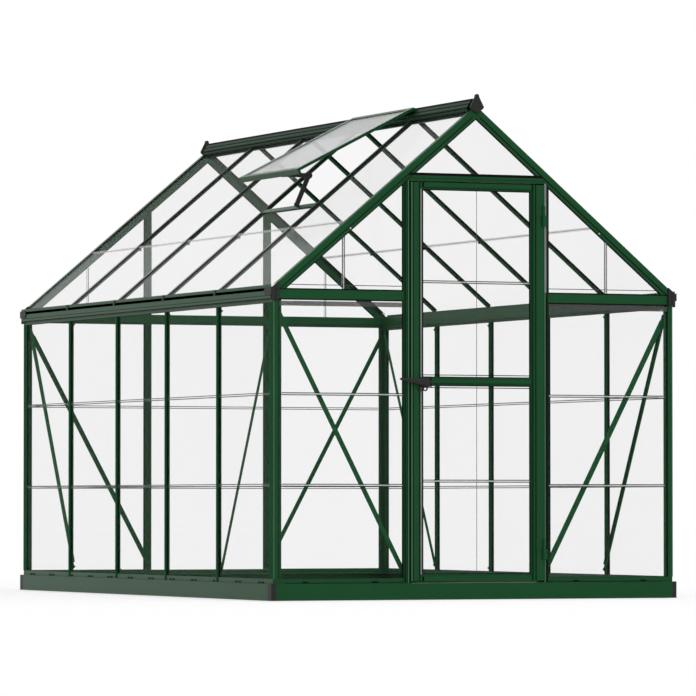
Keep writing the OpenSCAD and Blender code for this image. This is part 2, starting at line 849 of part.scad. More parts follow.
module leaf_section(w) {
    tube([0, 0], w - leaf_lip, leaf_t);
    leaf_lips(w - leaf_lip - skin, w);
}

module mid_section() {
    tube([mid_lip, 0], mid_h - 2 * mid_lip, leaf_t);
    leaf_lips(0, mid_lip + skin);
    leaf_lips(mid_h - mid_lip - skin, mid_h);
}

module leaf_rail(z) translate([0, leaf_y, z]) rotate([0, -90, 0])
    linear_extrude(2 * leaf_inner - 2 * fit, center = true) children();

module door_stiles() color(green) both_x() translate([-leaf_w / 2, leaf_y, leaf_bottom])
    linear_extrude(leaf_top - leaf_bottom) leaf_section(stile_w);

module door_rails() color(green) {
    leaf_rail(leaf_top) mirror([1, 0]) leaf_section(top_rail_h);
    leaf_rail(mid_z - mid_h / 2) mid_section();
    leaf_rail(leaf_bottom) leaf_section(bottom_rail_h);
}

module leaf_sheet(z0, z1) {
    half = leaf_inner + leaf_lip - edge;
    translate([-half, leaf_y + leaf_step + pane_in, z0]) cube([2 * half, pane_t, z1 - z0]);
}

module door_sheets() color(clear) {
    leaf_sheet(leaf_bottom + bottom_rail_h - seat, leaf_tier_1 - strip_half);
    leaf_sheet(leaf_tier_1 + strip_half, mid_z - mid_h / 2 + seat);
    leaf_sheet(mid_z + mid_h / 2 - seat, leaf_tier_2 - strip_half);
    leaf_sheet(leaf_tier_2 + strip_half, leaf_top - top_rail_h + seat);
}

module door_joint_strips() color(clear) translate([0, leaf_y + leaf_step, 0])
    for (z = [leaf_tier_1, leaf_tier_2]) level_strip(-leaf_inner + fit, leaf_inner - fit, z);

// lift-off hinges: a pintle on the jamb, a bored knuckle on the leaf
module at_hinges() for (z = [hinge_low, hinge_high]) translate([hinge_x, hinge_y, z]) children();

// the pintle's strap passes ahead of the leaf's edge and turns back to the jamb
module hinge_pintles() color(green) at_hinges() {
    face = -half_l - jamb_rise - fit - hinge_y;
    cylinder(r = pin_r, h = 2 * knuckle_h);
    cylinder(r = knuckle_r, h = knuckle_h);
    translate([0, -pintle_at, 0]) cube([pintle_arm + hinge_plate, hinge_plate, knuckle_h]);
    translate([pintle_arm, -pintle_at, 0]) cube([hinge_plate, face + pintle_at, knuckle_h]);
    translate([pintle_arm, face - hinge_plate, 0]) cube([pintle_wing - pintle_arm, hinge_plate, knuckle_h]);
}

module hinge_knuckles() color(green) at_hinges() translate([0, 0, knuckle_h + fit]) difference() {
    union() {
        cylinder(r = knuckle_r, h = knuckle_h - fit);
        translate([-hinge_wing, knuckle_r - hinge_plate, 0]) cube([hinge_wing, hinge_plate, knuckle_h - fit]);
    }
    translate([0, 0, -over]) cylinder(r = pin_r + pin_play, h = knuckle_h + 2 * over);
}

// handle plate with two padlock rings below the pivot
module handle_plate() color(black) translate([pivot_x, plate_y, pivot_z]) slab(0, plate_t) difference() {
    union() {
        circle(plate_r);
        translate([0, -plate_low]) square([plate_tail, plate_h]);
        for (dx = [ring_left, ring_right]) translate([dx, -ring_drop]) circle(ring_r);
    }
    circle(pivot_r + pin_play);
    for (dx = [ring_left, ring_right]) translate([dx, -ring_drop]) circle(ring_hole);
}

// lever on a stub shaft, tapering to its tip
module handle_lever() color(black) translate([pivot_x, plate_y, pivot_z]) {
    tip_u = lever_l - lever_tip;
    slab(-fit, plate_t + fit) circle(pivot_r);
    slab(-fit - lever_gap - over, lever_gap + over) circle(hub_r);
    slab(-fit - lever_gap - lever_t, lever_t) rotate(180 - lever_tilt) {
        circle(lever_root);
        polygon([[0, -lever_root], [tip_u, -lever_tip], [tip_u, lever_tip], [0, lever_root]]);
        translate([tip_u, 0]) circle(lever_tip);
    }
}

base_front();
base_back();
base_left();
base_right();
base_corners();
wall_sills();
corner_posts();
left_wall_studs();
right_wall_studs();
back_gable_studs();
door_jambs();
door_header();
door_stops();
gable_tie_beams();
left_gutter();
right_gutter();
gutter_end_caps();
front_rafters();
back_rafters();
left_roof_bars();
right_roof_bars();
ridge_beam();
ridge_end_caps();
wall_braces();
vent_sill();
vent_frame();
vent_sheet();
vent_stay();
left_wall_sheets();
right_wall_sheets();
front_gable_sheets();
back_gable_sheets();
left_roof_sheets();
right_roof_sheets();
wall_joint_strips();
roof_joint_strips();
hinge_pintles();
hinge_knuckles();
door_stiles();
door_rails();
door_sheets();
door_joint_strips();
handle_plate();
handle_lever();
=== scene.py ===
"""Looks of the greenhouse: finishes, seals, fasteners, floor, light and camera."""

import json
import math

import bmesh
import bpy
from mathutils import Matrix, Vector


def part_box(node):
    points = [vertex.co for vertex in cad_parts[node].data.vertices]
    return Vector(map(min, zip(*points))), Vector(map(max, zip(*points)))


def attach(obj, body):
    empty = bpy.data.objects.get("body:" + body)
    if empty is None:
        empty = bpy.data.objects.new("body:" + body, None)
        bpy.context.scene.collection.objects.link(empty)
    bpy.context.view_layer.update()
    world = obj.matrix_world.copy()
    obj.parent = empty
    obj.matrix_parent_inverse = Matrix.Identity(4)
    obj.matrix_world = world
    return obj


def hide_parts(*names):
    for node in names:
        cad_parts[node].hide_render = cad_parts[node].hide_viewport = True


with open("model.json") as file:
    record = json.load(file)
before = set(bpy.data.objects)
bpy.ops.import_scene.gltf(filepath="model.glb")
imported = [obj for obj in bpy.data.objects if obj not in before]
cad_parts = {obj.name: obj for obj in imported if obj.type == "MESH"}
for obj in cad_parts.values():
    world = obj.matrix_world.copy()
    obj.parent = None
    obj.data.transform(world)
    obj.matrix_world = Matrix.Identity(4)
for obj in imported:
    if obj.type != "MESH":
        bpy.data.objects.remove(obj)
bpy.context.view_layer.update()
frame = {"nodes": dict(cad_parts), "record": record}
NODES = frame["nodes"]

# camera fitted to the photograph
CAMERA_AT = (-9.042, -21.276, 0.398)
CAMERA_YAW = math.radians(23.183)
CAMERA_PITCH = math.radians(1.704)
CAMERA_LENS = 270.26
SENSOR = 36.0
CLIP_END = 200

# sizes repeated from the construction, in metres
MM = 0.001
APEX_Z = 2053 * MM
EAVE_RISE = 54.5 * MM
SKIN = 2.2 * MM
FIT = 0.3 * MM
PANE_IN = 2.5 * MM
PANE_T = 4 * MM
BAR_W = 24 * MM
BAR_D = 16 * MM
POST_W = 38 * MM
POST_CAP = 22 * MM
POST_FLANGE = 44 * MM
LIP_DROP = 12 * MM
RAFTER_H = 40 * MM
RAFTER_D = 26 * MM
RAFTER_BAND = 24 * MM
RAFTER_RAISE = 1.8 * MM
BRACE_FACE = 19.3 * MM
BRACE_SET = 24 * MM
BRACE_STEP = 24 * MM
TRACK_IN = 28 * MM
JAMB_TRACK = 7.5 * MM
BACK_STUD_TRACK = 17 * MM
STRIP_H = 12 * MM
STRIP_FACE = 1 * MM
STILE_W = 57 * MM
LEAF_RECESS = 14.5 * MM
VENT_OPEN = math.radians(12.8)
VENT_HINGE = (15.26 * MM, 2081.2 * MM)
VENT_L = 611 * MM
VENT_BAR = 22 * MM
VENT_SHEET_TOP = 5 * MM
RIDGE_FOOT = (30 * MM, 2048 * MM)
RIDGE_TOP = (8 * MM, 2085 * MM)
BAYS = 5

# gap under trim that lies on a sheet, and the distance at which corners count as one
CLEAR = 0.08 * MM
WELD = 0.001 * MM

# places read from the frame
HALF_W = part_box("wall_sills")[1].x
HALF_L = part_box("wall_sills")[1].y
SILL_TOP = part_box("wall_sills")[1].z
EAVE_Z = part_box("gable_tie_beams")[0].z
TIE_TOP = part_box("gable_tie_beams")[1].z
JAMB_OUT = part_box("door_jambs")[1].x
HEADER_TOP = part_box("door_header")[1].z
SILL_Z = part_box("wall_sills")[0].z
LEAF_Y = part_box("door_stiles")[0].y
LEAF_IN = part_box("door_stiles")[1].x - STILE_W
LEAF_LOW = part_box("door_stiles")[0].z
LEAF_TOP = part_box("door_stiles")[1].z
PITCH = math.atan2(APEX_Z - EAVE_Z - EAVE_RISE, HALF_W)
VENT_PITCH = PITCH - VENT_OPEN
BAY = (2 * HALF_L - POST_W) / BAYS
BAY_YS = [-HALF_L + POST_W / 2 + i * BAY for i in range(BAYS + 1)]
STUD_US = BAY_YS[1:-1]

# light: one share from all round, one that leans towards the front right,
# and the part of the leaning share that a level face takes
EVEN_LIGHT = 0.72
KEY_LIGHT = 0.56
KEY_TOWARDS = Vector((0.5, -0.75, 0.43))
KEY_ON_LEVEL = 2 / 3
FLOOR_ALBEDO = 0.5
FLOOR_REACH = 60
FLOOR_Z = -2 * MM
WHITE = (1, 1, 1, 1)


class Side:
    """Local frame of a wall, a slope or the leaf: u along it, v up it, n outward."""

    def __init__(self, origin, u, v):
        self.origin = Vector(origin)
        self.u = Vector(u)
        self.v = Vector(v)
        self.n = self.u.cross(self.v)

    def at(self, u, v, n=0.0):
        return self.origin + self.u * u + self.v * v + self.n * n


UP = (0, 0, 1)
VENT_UP = (math.cos(VENT_PITCH), 0, math.sin(VENT_PITCH))
RIDGE_LEAN = Vector((RIDGE_FOOT[0] - RIDGE_TOP[0], 0, RIDGE_TOP[1] - RIDGE_FOOT[1])).normalized()
FRONT = Side((0, -HALF_L, 0), (1, 0, 0), UP)
BACK = Side((0, HALF_L, 0), (-1, 0, 0), UP)
LEFT = Side((-HALF_W, 0, 0), (0, -1, 0), UP)
RIGHT = Side((HALF_W, 0, 0), (0, 1, 0), UP)
RIGHT_SLOPE = Side((0, 0, APEX_Z), (0, 1, 0), (-math.cos(PITCH), 0, math.sin(PITCH)))
LEFT_SLOPE = Side((0, 0, APEX_Z), (0, -1, 0), (math.cos(PITCH), 0, math.sin(PITCH)))
VENT = Side((-VENT_HINGE[0], 0, VENT_HINGE[1]), (0, -1, 0), VENT_UP)
LEAF = Side((0, LEAF_Y, 0), (1, 0, 0), UP)
RIDGE_LEFT = Side((-RIDGE_FOOT[0], 0, RIDGE_FOOT[1]), (0, -1, 0), RIDGE_LEAN)
RIDGE_RIGHT = Side((RIDGE_FOOT[0], 0, RIDGE_FOOT[1]), (0, 1, 0), (-RIDGE_LEAN.x, 0, RIDGE_LEAN.z))
RIDGE_LEFT_LEG = Side((-RIDGE_FOOT[0], 0, 0), (0, -1, 0), UP)
RIDGE_RIGHT_LEG = Side((RIDGE_FOOT[0], 0, 0), (0, 1, 0), UP)


def solids(node):
    """Lowest and highest corner of each separate solid of a CAD node."""
    bm = bmesh.new()
    bm.from_mesh(NODES[node].data)
    bmesh.ops.remove_doubles(bm, verts=bm.verts, dist=WELD)
    left = set(bm.verts)
    boxes = []
    for start in bm.verts:
        if start not in left:
            continue
        left.remove(start)
        todo = [start]
        found = []
        while todo:
            v = todo.pop()
            found.append(v.co)
            for e in v.link_edges:
                w = e.other_vert(v)
                if w in left:
                    left.remove(w)
                    todo.append(w)
        low = Vector(min(c[i] for c in found) for i in range(3))
        high = Vector(max(c[i] for c in found) for i in range(3))
        boxes.append((low, high))
    bm.free()
    return boxes


def shifted(base, pair):
    """Places of a pair of lines that are given from a base line."""
    return [base + place for place in pair]


def mirrored(s, a, b):
    """The span between a and b on the side with sign s, lower end first."""
    return sorted((s * a, s * b))


# finishes

DRIFT_SCALE = 3.0
DRIFT_DETAIL = 4.0
DRIFT_ROUGHNESS = 0.6
DRIFT_SPAN = (0.35, 0.65)
GRAIN_DETAIL = 2.0
GRAIN_HEIGHT = 0.3 * MM
ROUGH_SPREAD = 0.06
HAZE_SCALE = 1.6
HAZE_DETAIL = 2.0
HAZE_SPAN = (0.85, 1.15)
GRAZING_BLEND = 0.12


def new_material(name):
    m = bpy.data.materials.new(name)
    m.use_nodes = True
    return m, m.node_tree, m.node_tree.nodes["Principled BSDF"]


def add(tree, kind, **inputs):
    n = tree.nodes.new(kind)
    for key, value in inputs.items():
        n.inputs[key.replace("_", " ")].default_value = value
    return n


def coating(name, low, high, rough, grain, bump, level, metal=0.0):
    """Paint, rubber, moulded plastic or plated steel.

    Colour and roughness drift over the surface, and a fine grain is in the bump.
    """
    m, tree, shader = new_material(name)
    link = tree.links.new
    place = tree.nodes.new("ShaderNodeTexCoord")
    drift = add(
        tree, "ShaderNodeTexNoise",
        Scale=DRIFT_SCALE, Detail=DRIFT_DETAIL, Roughness=DRIFT_ROUGHNESS)
    link(place.outputs["Object"], drift.inputs["Vector"])
    ramp = tree.nodes.new("ShaderNodeValToRGB")
    for stop, position, colour in zip(ramp.color_ramp.elements, DRIFT_SPAN, (low, high)):
        stop.position = position
        stop.color = (*colour, 1)
    link(drift.outputs["Fac"], ramp.inputs["Fac"])
    link(ramp.outputs["Color"], shader.inputs["Base Color"])
    fine = add(tree, "ShaderNodeTexNoise", Scale=grain, Detail=GRAIN_DETAIL)
    link(place.outputs["Object"], fine.inputs["Vector"])
    span = add(tree, "ShaderNodeMapRange", To_Min=rough - ROUGH_SPREAD, To_Max=rough + ROUGH_SPREAD)
    link(fine.outputs["Fac"], span.inputs["Value"])
    link(span.outputs["Result"], shader.inputs["Roughness"])
    height = add(tree, "ShaderNodeBump", Strength=bump, Distance=GRAIN_HEIGHT)
    link(fine.outputs["Fac"], height.inputs["Height"])
    link(height.outputs["Normal"], shader.inputs["Normal"])
    shader.inputs["Specular IOR Level"].default_value = level
    shader.inputs["Metallic"].default_value = metal
    return m


def clear_sheet(name, tint, facing, grazing, rough):
    """Clear or milky sheet.

    Its cover goes from facing, seen straight on, to grazing, with a slight drift in the haze.
    """
    m, tree, shader = new_material(name)
    link = tree.links.new
    place = tree.nodes.new("ShaderNodeTexCoord")
    drift = add(tree, "ShaderNodeTexNoise", Scale=HAZE_SCALE, Detail=HAZE_DETAIL)
    link(place.outputs["Object"], drift.inputs["Vector"])
    haze = add(tree, "ShaderNodeMapRange", To_Min=HAZE_SPAN[0], To_Max=HAZE_SPAN[1])
    link(drift.outputs["Fac"], haze.inputs["Value"])
    rim = add(tree, "ShaderNodeLayerWeight", Blend=GRAZING_BLEND)
    span = add(tree, "ShaderNodeMapRange", To_Min=facing, To_Max=grazing)
    link(rim.outputs["Fresnel"], span.inputs["Value"])
    alpha = tree.nodes.new("ShaderNodeMath")
    alpha.operation = "MULTIPLY"
    link(span.outputs["Result"], alpha.inputs[0])
    link(haze.outputs["Result"], alpha.inputs[1])
    link(alpha.outputs["Value"], shader.inputs["Alpha"])
    shader.inputs["Base Color"].default_value = (*tint, 1)
    shader.inputs["Roughness"].default_value = rough
    return m


MATERIALS = {
    "frame": coating(
        "green_powder_coat", (0.0050, 0.070, 0.0185), (0.0066, 0.079, 0.0225),
        rough=0.32, grain=900, bump=0.10, level=0.125),
    "black_plastic": coating(
        "black_moulded_plastic", (0.018, 0.018, 0.017), (0.024, 0.024, 0.023),
        rough=0.5, grain=700, bump=0.25, level=0.2),
    "glazing": clear_sheet(
        "clear_sheet", (0.12, 0.125, 0.122), facing=0.034, grazing=0.055, rough=0.08),
    "vent_sheet": clear_sheet(
        "milky_sheet", (0.76, 0.765, 0.77), facing=0.2, grazing=0.8, rough=0.25),
    "joint_strip": clear_sheet(
        "clear_strip", (0.50, 0.51, 0.51), facing=0.05, grazing=0.14, rough=0.2),
    # black rubber of the seals; the same black also makes strips of painted shade in grooves,
    # steps, recesses and drain slots
    "seal": coating(
        "seal_rubber_and_painted_shade", (0.004, 0.004, 0.004), (0.006, 0.006, 0.006),
        rough=0.7, grain=500, bump=0.2, level=0.08),
    "fastener": coating(
        "zinc_plated_steel", (0.42, 0.43, 0.43), (0.55, 0.56, 0.56),
        rough=0.34, grain=1200, bump=0.1, level=0.5, metal=1.0),
}
ROOF_SHEET = clear_sheet(
    "roof_sheet", (0.25, 0.255, 0.25), facing=0.03, grazing=0.10, rough=0.1)
HAZY_SHEET = clear_sheet(
    "hazy_roof_sheet", (0.82, 0.83, 0.825), facing=0.04, grazing=0.19, rough=0.1)
# whiter, more opaque copy of the clear strip on the door and the front wall: painted highlight
HIGHLIGHT_STRIP = clear_sheet(
    "strip_painted_highlight", (0.95, 0.95, 0.95), facing=0.3, grazing=0.4, rough=0.2)
ROOF_STRIP = clear_sheet(
    "milky_roof_strip", (0.92, 0.93, 0.925), facing=0.15, grazing=0.25, rough=0.2)
# grey: painted reflection on the right jamb above the tie beam, and a grey strip on the left stile
# of the leaf
GREY_STRIP = coating(
    "grey_strip_coat", (0.20, 0.23, 0.21), (0.24, 0.27, 0.25),
    rough=0.5, grain=600, bump=0.1, level=0.3)
# paler copy of the frame paint: painted highlight on corners, edges and lit side faces
HIGHLIGHT_GREEN = coating(
    "green_painted_highlight", (0.055, 0.155, 0.080), (0.065, 0.175, 0.092),
    rough=0.4, grain=900, bump=0.1, level=0.2)
# darker copy of the frame paint on the ridge beam: painted shade
SHADED_RIDGE_GREEN = coating(
    "green_coat_painted_shade", (0.0060, 0.043, 0.0165), (0.0074, 0.050, 0.0195),
    rough=0.45, grain=900, bump=0.1, level=0.08)
# greener copy of the frame paint with less sheen, on the studs, braces and sides of the posts:
# painted light of those side faces
SIDE_LIGHT_GREEN = coating(
    "green_coat_painted_side_light", (0.0080, 0.084, 0.025), (0.0096, 0.094, 0.030),
    rough=0.6, grain=900, bump=0.1, level=0.03)
# grey over the lower part of the roof bars: painted reflection of the white surroundings
REFLECTION_GREY = coating(
    "grey_painted_reflection", (0.22, 0.225, 0.22), (0.26, 0.265, 0.26),
    rough=0.45, grain=700, bump=0.15, level=0.3)
SMOKED_STRIP = clear_sheet(
    "smoked_strip", (0.055, 0.055, 0.056), facing=0.68, grazing=0.85, rough=0.3)
# faint grey for the edges of the clear joint strips on the back and side walls: painted shade
FAINT_SHADE_STRIP = clear_sheet(
    "faint_strip_painted_shade", (0.20, 0.20, 0.20), facing=0.08, grazing=0.12, rough=0.3)

# nodes that differ from the plain finish of their slot: some by another finish, some by copies with
# painted highlight and painted shade
FINISHES_AND_PAINTED_LIGHT = {
    "left_roof_sheets": ROOF_SHEET,
    "door_joint_strips": HIGHLIGHT_STRIP,
    "roof_joint_strips": ROOF_STRIP,
    "ridge_beam": SHADED_RIDGE_GREEN,
    "left_wall_studs": SIDE_LIGHT_GREEN,
    "right_wall_studs": SIDE_LIGHT_GREEN,
    "wall_braces": SIDE_LIGHT_GREEN,
}
ROOF_JOINT_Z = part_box("roof_joint_strips")[0].z + STRIP_H
FRONT_STRIPS_Y = POST_W - HALF_L


def repaint(node, material, chosen):
    """Gives the faces of a node whose corners are all chosen another material."""
    mesh = NODES[node].data
    mesh.materials.append(material)
    for p in mesh.polygons:
        if all(chosen(mesh.vertices[v].co) for v in p.vertices):
            p.material_index = len(mesh.materials) - 1


for part in frame["record"]["subparts"]:
    node = NODES[part["node"]]
    node.data.materials.clear()
    node.data.materials.append(MATERIALS[part["material_slot"]])
for name, material in FINISHES_AND_PAINTED_LIGHT.items():
    NODES[name].data.materials[0] = material
repaint("left_roof_sheets", HAZY_SHEET, lambda v: v.z < ROOF_JOINT_Z)
# the joint strips of the front wall take the painted highlight
repaint("wall_joint_strips", HIGHLIGHT_STRIP, lambda v: v.y < FRONT_STRIPS_Y)


# shapes

SMOOTH_ANGLE = math.radians(40)
CHAMFER_SHARE = 0.25


def skin(bm, rings):
    """Closes a row of rings of points, all of one count, into a solid."""
    count = len(rings[0])
    for low, high in zip(rings, rings[1:]):
        for i in range(count):
            j = (i + 1) % count
            bm.faces.new((low[i], low[j], high[j], high[i]))
    bm.faces.new(rings[0])
    bm.faces.new(rings[-1])


def run(bm, profile, start, end, side, out):
    """Draws a closed profile of (side, out) points from start to end."""
    rings = []
    for p in (start, end):
        rings.append([bm.verts.new(p + side * a + out * b) for a, b in profile])
    skin(bm, rings)


def turned(bm, at, axis, outline, sides):
    """Closed solid of (radius, height) rings about an axis."""
    axis = axis.normalized()
    across = axis.orthogonal().normalized()
    other = axis.cross(across)
    rings = []
    for r, h in outline:
        ring = []
        for k in range(sides):
            t = 2 * math.pi * k / sides
            x = r * math.cos(t)
            y = r * math.sin(t)
            ring.append(bm.verts.new(at + axis * h + across * x + other * y))
        rings.append(ring)
    skin(bm, rings)


def piece(name, bm, material, body, smooth_angle=SMOOTH_ANGLE):
    """Makes the drawn shape an object that rides on a body."""
    bmesh.ops.recalc_face_normals(bm, faces=bm.faces)
    mesh = bpy.data.meshes.new(name)
    bm.to_mesh(mesh)
    bm.free()
    for p in mesh.polygons:
        p.use_smooth = True
    mesh.set_sharp_from_angle(angle=smooth_angle)
    mesh.materials.append(material)
    o = bpy.data.objects.new(name, mesh)
    bpy.context.scene.collection.objects.link(o)
    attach(o, body)
    return o


def flat_strip(bm, side, p, q, across, width, low, high):
    """Flat strip with chamfered edges on a side.

    It goes from p to q in the side's (u, v), is width wide towards across, and lies between
    the heights low and high.
    """
    c = min(width, high - low) * CHAMFER_SHARE
    profile = [
        (0, low), (width, low), (width, high - c),
        (width - c, high), (c, high), (0, high - c)]
    run(bm, profile, side.at(*p), side.at(*q), side.u * across[0] + side.v * across[1], side.n)


def level_strip(bm, side, u0, u1, v0, v1, low, thick):
    """Flat strip over a rectangle of a side, drawn along u."""
    flat_strip(bm, side, (u0, v0), (u1, v0), (0, 1), v1 - v0, low, low + thick)


def upright_strip(bm, side, u0, u1, v0, v1, low, thick):
    """Flat strip over a rectangle of a side, drawn along v."""
    flat_strip(bm, side, (u0, v0), (u0, v1), (1, 0), u1 - u0, low, low + thick)


# seals along the edges of the bars, on both faces of the sheets

SEAL_W = 4.4 * MM
THIN_SEAL_W = 1.6 * MM
SEAL_H = 2.1 * MM
SEAL_STEPS = 4
ROOF_SEAL_HEAD = 30 * MM
ROOF_SEAL_FOOT = 12 * MM
ROOF_TOP = -ROOF_SEAL_HEAD / math.cos(PITCH)
ROOF_FOOT = -(HALF_W - ROOF_SEAL_FOOT) / math.cos(PITCH)
RAFTER_LINE_W = 4 * MM
RAFTER_LINE_FROM = 20 * MM
RAFTER_LINE_END = 26 * MM
RAFTER_LINE_TO = HALF_W - RAFTER_LINE_END
BACK_STUD = max(high.x for low, high in solids("back_gable_studs"))


def seal_profile(width):
    quarter = [math.pi / 2 * k / SEAL_STEPS for k in range(SEAL_STEPS + 1)]
    return [(0, 0)] + [(width * math.cos(t), SEAL_H * math.sin(t)) for t in quarter]


def seal(bm, side, p, q, away, depth=PANE_IN, width=SEAL_W):
    """Seals on the sheets of a side, from p to q in its (u, v), off the bar towards away."""
    across = side.u * away[0] + side.v * away[1]
    profile = seal_profile(width)
    face = depth - CLEAR
    run(bm, profile, side.at(*p, -face), side.at(*q, -face), across, side.n)
    back = depth + PANE_T + CLEAR
    run(bm, profile, side.at(*p, -back), side.at(*q, -back), across, -side.n)


def framed_seals(bm, side, u0, u1, v0, v1, depth, width=SEAL_W):
    """Seals round a rectangle of bars."""
    seal(bm, side, (u0, v0), (u0, v1), (1, 0), depth, width)
    seal(bm, side, (u1, v0), (u1, v1), (-1, 0), depth, width)
    seal(bm, side, (u0, v0), (u1, v0), (0, 1), depth, width)
    seal(bm, side, (u0, v1), (u1, v1), (0, -1), depth, width)


def roof_height(x, depth):
    """Height of the line at a given depth under the roof surface."""
    return APEX_Z - abs(x) * math.tan(PITCH) - depth / math.cos(PITCH)


def rafter_reach(v):
    """How far from the middle the underside of the gable rafters is at height v."""
    return (roof_height(0, RAFTER_H) - v) / math.tan(PITCH)


def bar_seals(bm, side, low, high):
    """Seals along both edges of the inner bars of a side."""
    for u in STUD_US:
        seal(bm, side, (u - BAR_W / 2, low), (u - BAR_W / 2, high), (-1, 0))
        seal(bm, side, (u + BAR_W / 2, low), (u + BAR_W / 2, high), (1, 0))


def side_wall_seals(bm, side):
    top = EAVE_Z - LIP_DROP
    ends = HALF_L - POST_FLANGE
    bar_seals(bm, side, SILL_TOP, top)
    framed_seals(bm, side, -ends, ends, SILL_TOP, top, PANE_IN, THIN_SEAL_W)


def gable_seals(bm, side, inner):
    """Seals of one gable; inner is the outer edge of the uprights beside its middle bay."""
    ends = HALF_W - POST_CAP
    foot = rafter_reach(TIE_TOP)
    for s in (-1, 1):
        seal(bm, side, (s * inner, SILL_TOP), (s * inner, EAVE_Z), (s, 0))
        seal(bm, side, (s * ends, SILL_TOP), (s * ends, EAVE_Z), (-s, 0))
        seal(bm, side, (s * inner, SILL_TOP), (s * ends, SILL_TOP), (0, 1), width=THIN_SEAL_W)
        seal(bm, side, (s * inner, EAVE_Z), (s * ends, EAVE_Z), (0, -1), width=THIN_SEAL_W)
        seal(bm, side, (s * inner, TIE_TOP), (s * inner, roof_height(inner, RAFTER_H)), (s, 0))
        seal(bm, side, (s * inner, TIE_TOP), (s * foot, TIE_TOP), (0, 1), width=THIN_SEAL_W)
        down = (-s * math.sin(PITCH), -math.cos(PITCH))
        seal(bm, side, (0, roof_height(0, RAFTER_H)), (s * foot, TIE_TOP), down)


def roof_seals(bm, side):
    bar_seals(bm, side, ROOF_FOOT, ROOF_TOP)
    ends = HALF_L - RAFTER_D
    seal(bm, side, (-ends, ROOF_FOOT), (-ends, ROOF_TOP), (1, 0))
    seal(bm, side, (ends, ROOF_FOOT), (ends, ROOF_TOP), (-1, 0))


def rafter_lines(bm, side):
    """Black strip in the step of the gable rafters' faces: painted shadow of that step."""
    for s in (-1, 1):
        start = (s * RAFTER_LINE_FROM, roof_height(RAFTER_LINE_FROM, RAFTER_BAND))
        end = (s * RAFTER_LINE_TO, roof_height(RAFTER_LINE_TO, RAFTER_BAND))
        down = (-s * math.sin(PITCH), -math.cos(PITCH))
        flat_strip(bm, side, start, end, down, RAFTER_LINE_W, 0, RAFTER_RAISE - FIT)


bm = bmesh.new()
for side in (LEFT, RIGHT):
    side_wall_seals(bm, side)
gable_seals(bm, FRONT, JAMB_OUT)
gable_seals(bm, BACK, BACK_STUD)
for side in (LEFT_SLOPE, RIGHT_SLOPE):
    roof_seals(bm, side)
for side in (FRONT, BACK):
    rafter_lines(bm, side)
piece("glazing_seals_and_rafter_shade", bm, MATERIALS["seal"], "house")


# black strips of painted shade in the grooves, steps and recesses of the sections: ridge, gutters,
# tie beams, header, jambs and sills

LINE_T = 0.25 * MM
RIDGE_LINES = ((32.5 * MM, 42.8 * MM), (14 * MM, 20.5 * MM), (0.3 * MM, 3 * MM))
RIDGE_LEG_LINES = ((2041.6 * MM, 2045.4 * MM), (2031.5 * MM, 2034.5 * MM))
GUTTER_OUT = 12 * MM
GUTTER_STEP = 4 * MM
GUTTER_RECESS = (35.2 * MM, 47.8 * MM)
GUTTER_LINES = ((14.5 * MM, 16.7 * MM), (0.4 * MM, 4.2 * MM))
TIE_EDGE = 4.2 * MM
HEADER_LIP = (23 * MM, 33.6 * MM)
HEADER_LINE = (10 * MM, 11.6 * MM)
HEADER_LIP_T = 1.4 * MM
HEADER_H = 34 * MM
JAMB_RISE = 9 * MM
INNER_RIB = (309 * MM, 315 * MM)
OUTER_RIB = (319 * MM, 325 * MM)
LEFT_RIB_W = 2.6 * MM
SILL_LINE = (0.3 * MM, 2.8 * MM)
SILL_LINE_END = 52 * MM

RIDGE_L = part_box("ridge_beam")[1].y
GUTTER_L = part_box("left_gutter")[1].y
HEADER_Z = HEADER_TOP - HEADER_H

bm = bmesh.new()
for side, leg in ((RIDGE_LEFT, RIDGE_LEFT_LEG), (RIDGE_RIGHT, RIDGE_RIGHT_LEG)):
    for line in RIDGE_LINES:
        level_strip(bm, side, -RIDGE_L, RIDGE_L, *line, 0, LINE_T)
    for line in RIDGE_LEG_LINES:
        level_strip(bm, leg, -RIDGE_L, RIDGE_L, *line, 0, LINE_T)
piece("ridge_shade_lines", bm, MATERIALS["seal"], "house")

bm = bmesh.new()
for side in (LEFT, RIGHT):
    # black fill in the gutter recess: painted shade
    recess = shifted(EAVE_Z, GUTTER_RECESS)
    level_strip(bm, side, -GUTTER_L, GUTTER_L, *recess, GUTTER_OUT - GUTTER_STEP, SKIN)
    for line in GUTTER_LINES:
        level_strip(bm, side, -GUTTER_L, GUTTER_L, *shifted(EAVE_Z, line), GUTTER_OUT, LINE_T)
piece("gutter_shade_lines", bm, MATERIALS["seal"], "house")

bm = bmesh.new()
for s in (-1, 1):
    ends = mirrored(s, JAMB_OUT, HALF_W - POST_CAP)
    level_strip(bm, FRONT, *ends, EAVE_Z, EAVE_Z + TIE_EDGE, 0, LINE_T)
    level_strip(bm, FRONT, *ends, TIE_TOP - TIE_EDGE, TIE_TOP, 0, LINE_T)
    ends = mirrored(s, JAMB_OUT, HALF_W - SILL_LINE_END)
    level_strip(bm, FRONT, *ends, *shifted(SILL_Z, SILL_LINE), 0, LINE_T)
left_rib = (-OUTER_RIB[1], LEFT_RIB_W - OUTER_RIB[1])
for rib in (left_rib, OUTER_RIB):
    upright_strip(bm, FRONT, *rib, SILL_Z, HEADER_Z, JAMB_RISE, LINE_T)
header_ends = (-INNER_RIB[0], INNER_RIB[0])
level_strip(bm, FRONT, *header_ends, *shifted(HEADER_Z, HEADER_LIP), 0, HEADER_LIP_T)
level_strip(bm, FRONT, *header_ends, *shifted(HEADER_Z, HEADER_LINE), JAMB_RISE, LINE_T)
piece("gable_shade_lines", bm, MATERIALS["seal"], "house")


# painted highlight in paler green: inner ribs of the jambs, corners of the posts

POST_HIGHLIGHT_W = 4.5 * MM

